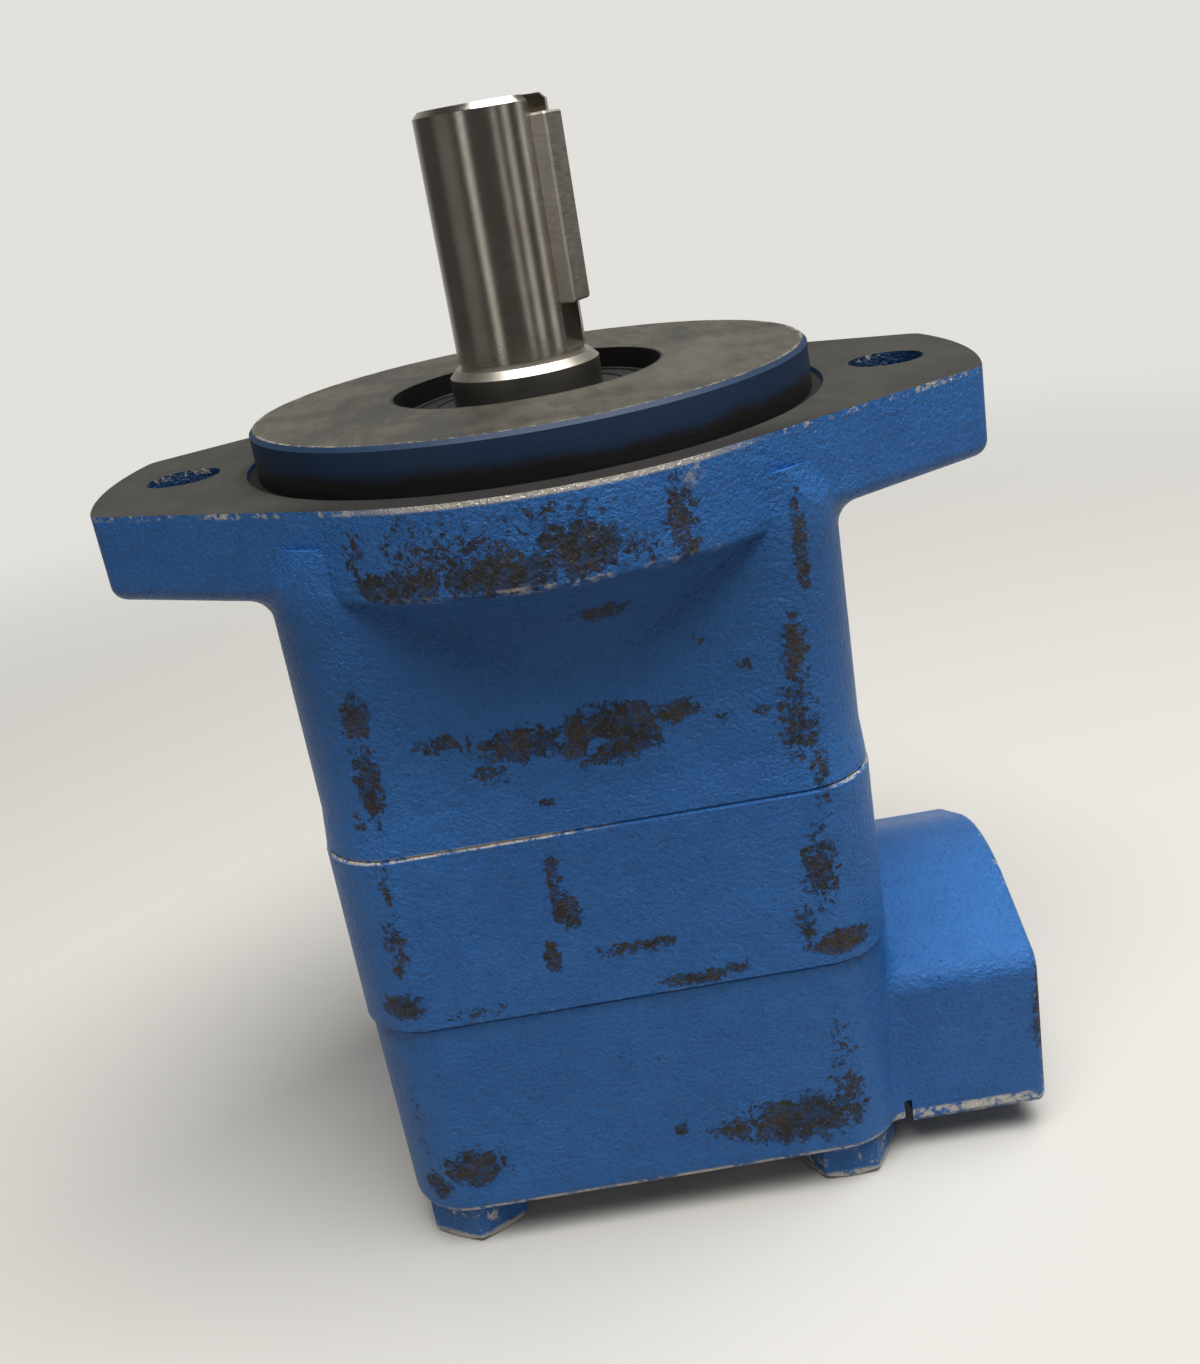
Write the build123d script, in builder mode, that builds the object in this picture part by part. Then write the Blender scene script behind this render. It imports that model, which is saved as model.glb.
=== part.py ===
from build123d import *
import math
import os

# Hydraulic vane pump: two-bolt front body, cam ring section and rear cover, held by four screws.
# All sizes are in millimetres. The origin is the centre of the mounting face, on the shaft axis.
# +Z runs along the shaft to its keyed end, and +X runs to the inlet port on the rear cover.

# Mounting flange and pilot
pilot_radius = 41.275
pilot_height = 6.35
pilot_chamfer = 0.6
pilot_groove_width = 1.7
pilot_groove_depth = 0.8
flange_thickness = 12.7
rim_radius = 47.6
rim_edge_radius = 1.0
lug_end = 11.8
lug_side_angle = 31.0
lug_corner_radius = 3.5
lug_edge_radius = 2.2
lug_root_radius = 3.5
mounting_hole_spacing = 106.4
mounting_hole_radius = 5.55

# Front body below the flange. Its section is a little smaller than the ring's
body_step = 0.6
body_length = 49.4
body_foot_height = 6.0
body_foot_growth = 0.55
section_corner_radius = 10.3
neck_top_step = 1.3
neck_height = 18.9
corner_fade_top = 5.0
corner_fade_height = 12.0
corner_fade_step = 1.4
corner_fade_growth = 2.6
seam_chamfer = 0.35

# Cam ring section
ring_length = 27.7

# Rear cover and its inlet boss
cover_step = 0.5
cover_length = 33.6
cover_draft = 0.5
cover_edge_radius = 1.8
boss_length = 21.7
boss_inset = 12.7
boss_centre = -6.1
boss_crest_drop = 0.5
boss_foot_drop = 1.6
boss_bite = 2.4
boss_slope = 22.5
boss_crown_radius = 30.0
boss_shoulder_radius = 4.0
boss_edge_radius = 1.4
boss_root_radius = 3.5
root_band = 1.2
wrench_clearance_radius = 11.4
wrench_relief_height = 3.2

# Ports
inlet_radius = 12.1
inlet_depth = 20.0
inlet_mouth_chamfer = 1.3
inlet_passage_radius = 7.2
outlet_radius = 9.2
outlet_depth = 13.5
outlet_mouth_chamfer = 1.0
outlet_passage_radius = 3.2
outlet_pad_radius = 14.5
outlet_pad_proud = 2.6

# Cover screws and dowel pins
screw_radius = 4.76
screw_wall = 2.4
screw_edge = 10.1
screw_length = 82.5
screw_clearance = 0.34
screw_tip_room = 2.0
screw_head_flats = 14.29
screw_head_height = 6.2
head_bevel_share = 0.95
head_bevel_angle = 30.0
screw_head_turns = (30.0, 12.0, 0.0, 21.0)
dowel_radius = 2.38
dowel_step = 1.0
dowel_bite = 8.0
dowel_chamfer = 0.4

# Fits: a located piece has almost no gap, and a turning or sliding one has a running gap
located_gap = 0.02
running_gap = 0.05
thread_gap = 0.05

# Shaft
shaft_radius = 9.525
shaft_reach = 44.45
shaft_end_chamfer = 0.85
centre_hole_radius = 2.4
centre_hole_depth = 4.0
shoulder_height = 9.4
shoulder_chamfer = 1.5
undercut_depth = 0.35
undercut_width = 0.6
journal_radius = 11.11
neck_radius = 8.4
spline_tip_radius = 8.4
spline_root_radius = 7.5
spline_teeth = 10
spline_tooth_width = 2.3
spline_gap = 0.06
spline_lead = 1.0
rear_journal_radius = 7.35
rear_journal_length = 17.5

# Key, which stands in a keyseat open at the shaft's end
key_size = 4.76
key_length = 25.4
key_setback = 2.55
key_turn = -8.0
key_top_radius = 11.6
key_chamfer = 0.3
key_gap = 0.02
keyseat_cutter_radius = 9.0

# Shaft seal and its garter spring
seal_bore_radius = 20.0
seal_recess = 2.95
seal_width = 7.0
seal_wall = 1.3
seal_web = 1.6
seal_hub_wall = 1.4
seal_edge_chamfer = 0.7
garter_wire_radius = 0.6
garter_drop = 5.6

# Ball bearing
bearing_gap = 2.0
bearing_width = 12.0
bearing_bore_radius = 8.5
ball_radius = 3.37
ball_count = 8
ball_circle_radius = 14.25
race_shoulder = 1.95
ball_gap = 0.06
cage_wall = 1.7
cage_height = 8.0

# Retaining rings
housing_ring_thickness = 1.75
housing_ring_width = 3.6
housing_groove_depth = 1.25
shaft_ring_thickness = 1.0
shaft_ring_width = 3.0
shaft_groove_depth = 0.4
housing_ring_opening = 6.0
shaft_ring_opening = 5.0
ear_radius = 2.3
ear_hole_radius = 1.0
ear_spread = 7.0

# Pumping cartridge: rotor, vanes and the two-lobe contour of the cam ring
cam_major_radius = 25.9
vane_stroke = 3.65
rotor_gap = 0.45
rotor_side_gap = 0.04
cam_minor_dwell = 20.0
cam_major_dwell = 18.0
vane_count = 12
vane_thickness = 1.65
vane_foot_radius = 12.75
vane_tip_chamfer = 0.5
vane_seat = 0.05
vane_slot_hole_radius = 1.5

# Pressure plate, its disc spring and the hub's seal
plate_margin = 1.1
plate_thickness = 11.0
plate_room = 0.6
plate_hub_radius = 14.0
plate_hub_height = 9.4
hub_groove_depth = 1.4
hub_groove_width = 2.0
hub_groove_drop = 1.4
kidney_inset = 2.7
kidney_width = 3.2
kidney_span = 40.0
under_vane_groove_width = 2.4
under_vane_groove_depth = 1.2
chamber_step = 2.0
chamber_height = 7.2
web_bore_radius = 13.0
hub_bore_height = 4.2
spring_thickness = 0.9
spring_inner_gap = 0.8
spring_outer_gap = 1.0

# Face seals of the cam ring section
face_seal_step = 5.4
face_seal_width = 2.2
face_seal_depth = 1.8

# Cover gallery and the bush of the shaft's rear end
gallery_inset = 1.4
gallery_hub_radius = 13.0
gallery_height = 14.6
bush_wall = 2.1
bush_length = 15.0
bush_recess = 2.0
bush_well_depth = 22.0

# Radii and widths that follow from the contour of the cam ring, from the inside to the outside
cam_minor_radius = cam_major_radius - vane_stroke
rotor_radius = cam_minor_radius - rotor_gap
kidney_radius = cam_major_radius - kidney_inset
gallery_radius = cam_major_radius - gallery_inset
plate_radius = cam_major_radius + plate_margin
chamber_radius = plate_radius - chamber_step
spring_outer_radius = chamber_radius - spring_outer_gap
dowel_circle_radius = plate_radius + dowel_step
face_seal_radius = plate_radius + face_seal_step
screw_hole_radius = screw_radius + screw_clearance
screw_circle_radius = face_seal_radius + face_seal_width / 2 + screw_wall + screw_hole_radius
screw_spacing = math.sqrt(2) * screw_circle_radius
ring_width = screw_spacing + 2 * screw_edge
body_width = ring_width - 2 * body_step
cover_width = ring_width - 2 * cover_step
boss_reach = ring_width / 2 + boss_length
boss_half_width = ring_width / 2 - boss_inset
lug_reach = mounting_hole_spacing / 2 + lug_end
neck_top_radius = rim_radius - neck_top_step

# Heights of the main faces along the shaft axis
seam_front = -body_length
seam_rear = seam_front - ring_length
cover_back = seam_rear - cover_length
port_height = (seam_rear + cover_back) / 2
seal_top = pilot_height - seal_recess
seal_bottom = seal_top - seal_width
bearing_top = seal_bottom - bearing_gap - housing_ring_thickness
bearing_bottom = bearing_top - bearing_width
plate_back = seam_front + plate_thickness
chamber_top = plate_back + chamber_height
hub_top = plate_back + plate_hub_height
outlet_height = (plate_back + chamber_top) / 2
key_top = shaft_reach - key_setback
key_bottom = key_top - key_length
gallery_top = port_height + gallery_height / 2
screw_tip = cover_back + screw_length
rear_end = seam_rear - rear_journal_length


def disc(radius, top, bottom, mode=Mode.ADD):
    """Adds or cuts a round step about the shaft axis between two heights."""
    with BuildSketch(Plane.XY.offset(bottom)) as step:
        Circle(radius)
    extrude(step.sketch, amount=top - bottom, mode=mode)


def annulus(outer, inner, top, bottom, mode=Mode.ADD):
    """Adds or cuts a ring about the shaft axis between two heights."""
    with BuildSketch(Plane.XY.offset(bottom)) as step:
        Circle(outer)
        Circle(inner, mode=Mode.SUBTRACT)
    extrude(step.sketch, amount=top - bottom, mode=mode)


def section(width, top, bottom, taper=0.0):
    """Adds a square section with round corners that hangs down from a height."""
    with BuildSketch(Plane.XY.offset(top)) as outline:
        RectangleRounded(width, width, section_corner_radius)
    extrude(outline.sketch, amount=bottom - top, taper=taper)


def cut_pattern(radius, top, bottom, places):
    """Cuts equal round holes at the places of a pattern."""
    with BuildSketch(Plane.XY.offset(bottom)) as holes:
        with places:
            Circle(radius)
    extrude(holes.sketch, amount=top - bottom, mode=Mode.SUBTRACT)


def cut_kidneys(first_angle, top, bottom):
    """Cuts two curved ports that face each other across the shaft."""
    with BuildSketch(Plane.XY.offset(bottom)) as ports:
        for angle in (first_angle, first_angle + 180):
            SlotArc(CenterArc((0, 0), kidney_radius, angle - kidney_span / 2, kidney_span), kidney_width)
    extrude(ports.sketch, amount=top - bottom, mode=Mode.SUBTRACT)


def spline_profile(gap=0.0):
    """Draws the straight-sided spline, made larger all round by a gap."""
    Circle(spline_root_radius + gap)
    with PolarLocations(0, spline_teeth):
        Rectangle(
            spline_tip_radius + gap,
            spline_tooth_width + 2 * gap,
            align=(Align.MIN, Align.CENTER),
        )
    Circle(spline_tip_radius + gap, mode=Mode.INTERSECT)


def round_port(plane, radius, depth, mouth_chamfer):
    """Cuts a blind tapped hole with a chamfered mouth into the face on a plane."""
    with BuildSketch(plane) as bore:
        Circle(radius)
    extrude(bore.sketch, amount=-depth, mode=Mode.SUBTRACT)
    with BuildSketch(plane) as mouth:
        Circle(radius + mouth_chamfer)
    extrude(mouth.sketch, amount=-mouth_chamfer, taper=45, mode=Mode.SUBTRACT)


def save(part, name):
    """Labels one piece and writes it to its own file."""
    part.label = name
    export_step(part, f"parts/{name}.step")


os.makedirs("parts", exist_ok=True)

screw_places = GridLocations(screw_spacing, screw_spacing, 2, 2)
dowel_places = PolarLocations(dowel_circle_radius, 2)
hole_places = PolarLocations(mounting_hole_spacing / 2, 2)

# Front body: lugs, rim, pilot and square section in one casting
side_normal = math.radians(90 - lug_side_angle)
outlet_face = body_width / 2 + outlet_pad_proud
outlet_plane = Plane(origin=(0, outlet_face, outlet_height), z_dir=(0, 1, 0))
lug_apex = rim_radius / math.cos(side_normal)
tangent_x = rim_radius * math.cos(side_normal)
tangent_y = rim_radius * math.sin(side_normal)
with BuildPart() as lug_plate:
    with BuildSketch(Plane.XY.offset(-flange_thickness)):
        Polygon(
            (lug_apex, 0),
            (tangent_x, tangent_y),
            (-tangent_x, tangent_y),
            (-lug_apex, 0),
            (-tangent_x, -tangent_y),
            (tangent_x, -tangent_y),
            align=None,
        )
        Circle(lug_reach, mode=Mode.INTERSECT)
    extrude(amount=flange_thickness)
    upright_edges = lug_plate.edges().filter_by(Axis.Z)
    lug_corners = upright_edges.sort_by(lambda edge: abs(edge.center().X))[-4:]
    fillet(lug_corners, lug_corner_radius)
    fillet(lug_plate.faces().sort_by(Axis.Z)[0].edges(), lug_edge_radius)

# Hollow curve under the rim, which runs out on the front and the back of the section
with BuildPart() as neck:
    neck_foot = -flange_thickness - neck_height
    with BuildSketch(Plane.XZ):
        with BuildLine():
            hollow = TangentArc(
                (body_width / 2, neck_foot),
                (neck_top_radius, -flange_thickness),
                tangent=(0, 1),
            )
            Polyline(hollow @ 1, (0, -flange_thickness), (0, neck_foot), hollow @ 0)
        make_face()
    revolve(axis=Axis.Z)
    with Locations((0, 0, -flange_thickness)):
        Box(body_width - 2 * section_corner_radius, 2 * rim_radius, 2 * neck_height, mode=Mode.INTERSECT)

# Square section, whose corners fade out where they run up into the flange
with BuildPart() as square_section:
    section(body_width, -corner_fade_top, seam_front)
    with BuildSketch(Plane.XZ):
        with BuildLine():
            fade_radius = rim_radius + corner_fade_step
            fade_bottom = -corner_fade_top - corner_fade_height
            Polyline(
                (fade_radius, -corner_fade_top),
                (fade_radius + corner_fade_growth, fade_bottom),
                (body_width, fade_bottom),
                (body_width, -corner_fade_top),
                close=True,
            )
        make_face()
    revolve(axis=Axis.Z, mode=Mode.SUBTRACT)
    with BuildSketch(Plane.XY.offset(seam_front + body_foot_height)):
        RectangleRounded(body_width, body_width, section_corner_radius)
    with BuildSketch(Plane.XY.offset(seam_front)):
        foot_width = body_width + 2 * body_foot_growth
        RectangleRounded(foot_width, foot_width, section_corner_radius + body_foot_growth)
    loft()

with BuildPart() as front_body:
    disc(rim_radius, 0, -flange_thickness)
    fillet(front_body.faces().sort_by(Axis.Z)[0].edges(), rim_edge_radius)
    add(lug_plate.part)
    add(square_section.part)
    root_edges = front_body.edges().filter_by(Axis.Y).filter_by(
        lambda edge: abs(edge.center().Z + flange_thickness) < 0.01
    )
    fillet(root_edges, lug_root_radius)
    add(neck.part)
    chamfer(front_body.faces().sort_by(Axis.Z)[0].outer_wire().edges(), seam_chamfer)
    disc(pilot_radius, pilot_height, -pilot_groove_depth)
    chamfer(front_body.faces().sort_by(Axis.Z)[-1].edges(), pilot_chamfer)
    annulus(pilot_radius + pilot_groove_width, pilot_radius, 0, -pilot_groove_depth, Mode.SUBTRACT)
    disc(seal_bore_radius, pilot_height, bearing_bottom, Mode.SUBTRACT)
    disc(
        seal_bore_radius + housing_groove_depth,
        bearing_top + housing_ring_thickness,
        bearing_top,
        Mode.SUBTRACT,
    )
    disc(web_bore_radius, bearing_bottom, chamber_top, Mode.SUBTRACT)
    disc(plate_hub_radius + running_gap, chamber_top + hub_bore_height, chamber_top, Mode.SUBTRACT)
    disc(chamber_radius, chamber_top, plate_back, Mode.SUBTRACT)
    disc(plate_radius + running_gap, plate_back + plate_room, seam_front, Mode.SUBTRACT)
    annulus(
        face_seal_radius + face_seal_width / 2,
        face_seal_radius - face_seal_width / 2,
        seam_front + face_seal_depth,
        seam_front,
        Mode.SUBTRACT,
    )
    cut_pattern(screw_radius + thread_gap, screw_tip + screw_tip_room, seam_front, screw_places)
    cut_pattern(dowel_radius + located_gap, seam_front + dowel_bite, seam_front, dowel_places)
    cut_pattern(mounting_hole_radius, 0, -flange_thickness, hole_places)
    with BuildSketch(outlet_plane):
        Circle(outlet_pad_radius)
    extrude(amount=-2 * outlet_pad_proud)
    round_port(outlet_plane, outlet_radius, outlet_depth, outlet_mouth_chamfer)
    with BuildSketch(outlet_plane):
        Circle(outlet_passage_radius)
    extrude(amount=(chamber_radius + plate_hub_radius) / 2 - outlet_face, mode=Mode.SUBTRACT)
save(front_body.part, "front_body")

# Cam ring section with its two-lobe contour: dwell arcs joined by smooth ramps
with BuildPart() as cam_ring:
    section(ring_width, seam_front, seam_rear)
    end_edges = cam_ring.edges().filter_by(Plane.XY)
    chamfer(end_edges, seam_chamfer)
    with BuildSketch(Plane.XY.offset(seam_rear)):
        with BuildLine():
            minor_arcs = []
            major_arcs = []
            for side in (0, 180):
                minor_arcs.append(
                    CenterArc((0, 0), cam_minor_radius, side - cam_minor_dwell, 2 * cam_minor_dwell)
                )
                major_arcs.append(
                    CenterArc((0, 0), cam_major_radius, side + 90 - cam_major_dwell, 2 * cam_major_dwell)
                )
            for side in (0, 1):
                rise = minor_arcs[side]
                crest = major_arcs[side]
                fall = minor_arcs[1 - side]
                Spline(rise @ 1, crest @ 0, tangents=(rise % 1, crest % 0))
                Spline(crest @ 1, fall @ 0, tangents=(crest % 1, fall % 0))
        make_face()
    extrude(amount=ring_length, mode=Mode.SUBTRACT)
    cut_pattern(screw_hole_radius, seam_front, seam_rear, screw_places)
    cut_pattern(dowel_radius + located_gap, seam_front, seam_rear, dowel_places)
save(cam_ring.part, "cam_ring")

# Rear cover with the crowned inlet boss, the suction gallery and the well of the bush
slope_angle = math.radians(boss_slope)
boss_apex = seam_rear - boss_crest_drop + boss_crown_radius * (1 / math.cos(slope_angle) - 1)
boss_shoulder = boss_apex - boss_half_width * math.tan(slope_angle)
boss_start = cover_width / 2 - boss_bite
boss_foot = cover_back - boss_foot_drop


def on_boss_root(edge):
    """Tells whether an edge runs where the boss leaves the side of the cover."""
    middle = edge.center()
    beside = abs(middle.X - cover_width / 2) < root_band and edge.bounding_box().size.X < root_band
    above = cover_back + 2 * cover_edge_radius < middle.Z < seam_rear - 2 * seam_chamfer
    return beside and above and abs(middle.Y - boss_centre) < boss_half_width + root_band


with BuildPart() as rear_cover:
    section(cover_width, seam_rear, cover_back, cover_draft)
    chamfer(rear_cover.faces().sort_by(Axis.Z)[-1].edges(), seam_chamfer)
    fillet(rear_cover.faces().sort_by(Axis.Z)[0].edges(), cover_edge_radius)
    with BuildSketch(Plane.YZ.offset(boss_start)) as boss_profile:
        with BuildLine():
            Polyline(
                (boss_centre - boss_half_width, boss_foot),
                (boss_centre - boss_half_width, boss_shoulder),
                (boss_centre, boss_apex),
                (boss_centre + boss_half_width, boss_shoulder),
                (boss_centre + boss_half_width, boss_foot),
                close=True,
            )
        make_face()
        fillet(boss_profile.vertices().sort_by(Axis.Y)[-1], boss_crown_radius)
        fillet(boss_profile.vertices().sort_by(Axis.Y)[:2], cover_edge_radius)
        shoulders = boss_profile.vertices().filter_by(
            lambda corner: abs(corner.Y - boss_shoulder) < 0.01
        )
        fillet(shoulders, boss_shoulder_radius)
    extrude(amount=boss_reach - boss_start)
    fillet(rear_cover.faces().sort_by(Axis.X)[-1].edges(), boss_edge_radius)
    fillet(rear_cover.edges().filter_by(on_boss_root), boss_root_radius)
    disc(gallery_radius, gallery_top, gallery_top - gallery_height, Mode.SUBTRACT)
    disc(gallery_hub_radius, gallery_top, gallery_top - gallery_height)
    disc(
        rear_journal_radius + running_gap + bush_wall + located_gap,
        seam_rear,
        seam_rear - bush_well_depth,
        Mode.SUBTRACT,
    )
    cut_kidneys(135, seam_rear, gallery_top - gallery_height / 2)
    annulus(
        face_seal_radius + face_seal_width / 2,
        face_seal_radius - face_seal_width / 2,
        seam_rear,
        seam_rear - face_seal_depth,
        Mode.SUBTRACT,
    )
    cut_pattern(screw_hole_radius, seam_rear, cover_back, screw_places)
    cut_pattern(dowel_radius + located_gap, seam_rear, seam_rear - dowel_bite, dowel_places)
    inlet_plane = Plane(origin=(boss_reach, boss_centre, port_height), z_dir=(1, 0, 0))
    round_port(inlet_plane, inlet_radius, inlet_depth, inlet_mouth_chamfer)
    with BuildSketch(inlet_plane):
        Circle(inlet_passage_radius)
    extrude(amount=(gallery_radius + gallery_hub_radius) / 2 - boss_reach, mode=Mode.SUBTRACT)
    cut_pattern(wrench_clearance_radius, cover_back, boss_foot, screw_places)
    with BuildSketch(Plane.XY.offset(cover_back)):
        with screw_places:
            Circle(wrench_clearance_radius)
        with Locations((cover_width / 2, 0)):
            Rectangle(
                2 * wrench_clearance_radius,
                2 * screw_spacing,
                align=(Align.MIN, Align.CENTER),
                mode=Mode.INTERSECT,
            )
    extrude(amount=wrench_relief_height, mode=Mode.SUBTRACT)
save(rear_cover.part, "rear_cover")

# Drive shaft: keyed end, seal journal, bearing seat, splined middle and rear journal
key_plane = Plane(
    origin=(0, 0, 0),
    x_dir=(math.cos(math.radians(key_turn)), math.sin(math.radians(key_turn)), 0),
    z_dir=(math.sin(math.radians(key_turn)), -math.cos(math.radians(key_turn)), 0),
)
with BuildPart() as drive_shaft:
    disc(shaft_radius, shaft_reach, shoulder_height)
    chamfer(drive_shaft.faces().sort_by(Axis.Z)[-1].edges(), shaft_end_chamfer)
    with Locations((0, 0, shaft_reach - centre_hole_depth / 2)):
        Cone(0, centre_hole_radius, centre_hole_depth, mode=Mode.SUBTRACT)
    annulus(
        shaft_radius,
        shaft_radius - undercut_depth,
        shoulder_height + undercut_width,
        shoulder_height,
        Mode.SUBTRACT,
    )
    disc(journal_radius, shoulder_height, bearing_top)
    collar_edge = drive_shaft.edges().filter_by(GeomType.CIRCLE).filter_by(
        lambda edge: abs(edge.radius - journal_radius) < 0.01 and edge.center().Z > 0
    )
    chamfer(collar_edge, shoulder_chamfer)
    disc(bearing_bore_radius, bearing_top, bearing_bottom - 2 * shaft_ring_thickness)
    annulus(
        bearing_bore_radius,
        bearing_bore_radius - shaft_groove_depth,
        bearing_bottom,
        bearing_bottom - shaft_ring_thickness,
        Mode.SUBTRACT,
    )
    disc(neck_radius, bearing_bottom - 2 * shaft_ring_thickness, seam_front + spline_lead)
    with BuildSketch(Plane.XY.offset(seam_rear)):
        spline_profile()
    extrude(amount=ring_length + spline_lead)
    disc(rear_journal_radius, seam_rear, rear_end)
    chamfer(drive_shaft.faces().sort_by(Axis.Z)[0].edges(), shaft_end_chamfer)
    seat_floor = key_top_radius - key_size
    with BuildSketch(key_plane):
        with Locations((seat_floor - key_gap, key_bottom - key_gap)):
            Rectangle(2 * key_size, 2 * key_length, align=(Align.MIN, Align.MIN))
        with Locations((seat_floor - key_gap + keyseat_cutter_radius, key_bottom - key_gap)):
            Circle(keyseat_cutter_radius)
    extrude(amount=key_size / 2 + key_gap, both=True, mode=Mode.SUBTRACT)
save(drive_shaft.part, "drive_shaft")

# Square key in the keyseat
with BuildPart() as shaft_key:
    with BuildSketch(key_plane):
        with Locations((seat_floor, key_bottom)):
            Rectangle(key_size, key_length, align=(Align.MIN, Align.MIN))
    extrude(amount=key_size / 2, both=True)
    chamfer(shaft_key.edges(), key_chamfer)
save(shaft_key.part, "shaft_key")

# Shaft seal: outer wall, flat outer face and the lip that hangs beside the journal
lip_radius = journal_radius + running_gap
lip_outer = lip_radius + seal_hub_wall
with BuildPart() as shaft_seal:
    annulus(seal_bore_radius - located_gap, lip_radius, seal_top, seal_bottom)
    top_edges = shaft_seal.faces().sort_by(Axis.Z)[-1].edges()
    chamfer(top_edges.sort_by(SortBy.RADIUS)[-1], seal_edge_chamfer)
    annulus(
        seal_bore_radius - seal_wall,
        lip_outer,
        seal_top - seal_web,
        seal_bottom,
        Mode.SUBTRACT,
    )
    with BuildSketch(Plane.XZ):
        with Locations((lip_outer + garter_wire_radius / 2, seal_top - garter_drop)):
            Circle(garter_wire_radius + located_gap)
    revolve(axis=Axis.Z, mode=Mode.SUBTRACT)
save(shaft_seal.part, "shaft_seal")

with BuildPart() as seal_garter_spring:
    with BuildSketch(Plane.XZ):
        with Locations((lip_outer + garter_wire_radius / 2, seal_top - garter_drop)):
            Circle(garter_wire_radius)
    revolve(axis=Axis.Z)
save(seal_garter_spring.part, "seal_garter_spring")

# Ball bearing: two grooved races, a pierced cage and its balls
ball_height = (bearing_top + bearing_bottom) / 2
inner_shoulder_radius = ball_circle_radius - race_shoulder
outer_shoulder_radius = ball_circle_radius + race_shoulder


def cut_ball_groove():
    """Cuts the round track of the balls into a race."""
    with BuildSketch(Plane.XZ) as track:
        with Locations((ball_circle_radius, ball_height)):
            Circle(ball_radius + ball_gap)
    revolve(track.sketch, axis=Axis.Z, mode=Mode.SUBTRACT)


with BuildPart() as bearing_outer_race:
    annulus(seal_bore_radius - located_gap, outer_shoulder_radius, bearing_top, bearing_bottom)
    cut_ball_groove()
save(bearing_outer_race.part, "bearing_outer_race")

with BuildPart() as bearing_inner_race:
    annulus(inner_shoulder_radius, bearing_bore_radius + located_gap, bearing_top, bearing_bottom)
    cut_ball_groove()
save(bearing_inner_race.part, "bearing_inner_race")

ball_places = PolarLocations(ball_circle_radius, ball_count)
with BuildPart(Plane.XY.offset(ball_height)) as bearing_balls:
    with ball_places:
        Sphere(ball_radius)
save(bearing_balls.part, "bearing_balls")

with BuildPart(Plane.XY.offset(ball_height)) as bearing_cage:
    Cylinder(ball_circle_radius + cage_wall / 2, cage_height)
    Cylinder(ball_circle_radius - cage_wall / 2, cage_height, mode=Mode.SUBTRACT)
    with ball_places:
        Cylinder(ball_radius + ball_gap, 3 * cage_wall, rotation=(0, 90, 0), mode=Mode.SUBTRACT)
save(bearing_cage.part, "bearing_cage")

# Retaining rings: the housing ring has ears that point inwards, the shaft ring plain ends
with BuildPart() as bearing_retaining_ring:
    ring_outer = seal_bore_radius + housing_groove_depth - running_gap
    ring_mean = ring_outer - housing_ring_width
    ear_angle = math.degrees(math.asin(housing_ring_opening / 2 / ring_mean)) + ear_spread
    with BuildSketch(Plane.XY.offset(bearing_top)):
        Circle(ring_outer)
        Circle(ring_outer - housing_ring_width, mode=Mode.SUBTRACT)
        with PolarLocations(ring_mean, 2, 90 - ear_angle, 2 * ear_angle, endpoint=True):
            Circle(ear_radius)
        with PolarLocations(ring_mean, 2, 90 - ear_angle, 2 * ear_angle, endpoint=True):
            Circle(ear_hole_radius, mode=Mode.SUBTRACT)
        Rectangle(
            housing_ring_opening,
            2 * ring_outer,
            align=(Align.CENTER, Align.MIN),
            mode=Mode.SUBTRACT,
        )
    extrude(amount=housing_ring_thickness)
save(bearing_retaining_ring.part, "bearing_retaining_ring")

with BuildPart() as shaft_retaining_ring:
    shaft_ring_inner = bearing_bore_radius - shaft_groove_depth + running_gap
    with BuildSketch(Plane.XY.offset(bearing_bottom - shaft_ring_thickness)):
        Circle(shaft_ring_inner + shaft_ring_width)
        Circle(shaft_ring_inner, mode=Mode.SUBTRACT)
        Rectangle(
            shaft_ring_opening,
            2 * shaft_ring_inner + shaft_ring_width,
            align=(Align.CENTER, Align.MIN),
            mode=Mode.SUBTRACT,
        )
    extrude(amount=shaft_ring_thickness)
save(shaft_retaining_ring.part, "shaft_retaining_ring")

# Rotor with a splined bore and a slot for each vane, which ends in a round hole
rotor_top = seam_front - rotor_side_gap
rotor_bottom = seam_rear + rotor_side_gap
vane_top_radius = rotor_radius - vane_seat
vane_height = vane_top_radius - vane_foot_radius
with BuildPart() as rotor:
    disc(rotor_radius, rotor_top, rotor_bottom)
    with BuildSketch(Plane.XY.offset(rotor_bottom)):
        spline_profile(spline_gap)
        with PolarLocations(vane_foot_radius, vane_count):
            Circle(vane_slot_hole_radius)
            Rectangle(
                2 * vane_height,
                vane_thickness + 2 * running_gap,
                align=(Align.MIN, Align.CENTER),
            )
    extrude(amount=rotor_top - rotor_bottom, mode=Mode.SUBTRACT)
save(rotor.part, "rotor")

# Vanes, each a flat blade with a bevelled tip, drawn in to the rotor's rim
for number in range(vane_count):
    vane_plane = Plane.XY.rotated((0, 0, number * 360 / vane_count)).offset(rotor_bottom)
    with BuildPart() as vane:
        with BuildSketch(vane_plane) as blade:
            with Locations((vane_foot_radius, 0)):
                Rectangle(vane_height, vane_thickness, align=(Align.MIN, Align.CENTER))
            chamfer(blade.vertices().sort_by(Axis.X)[-2:], vane_tip_chamfer)
        extrude(amount=rotor_top - rotor_bottom)
    save(vane.part, f"vane_{number + 1:02d}")

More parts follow.
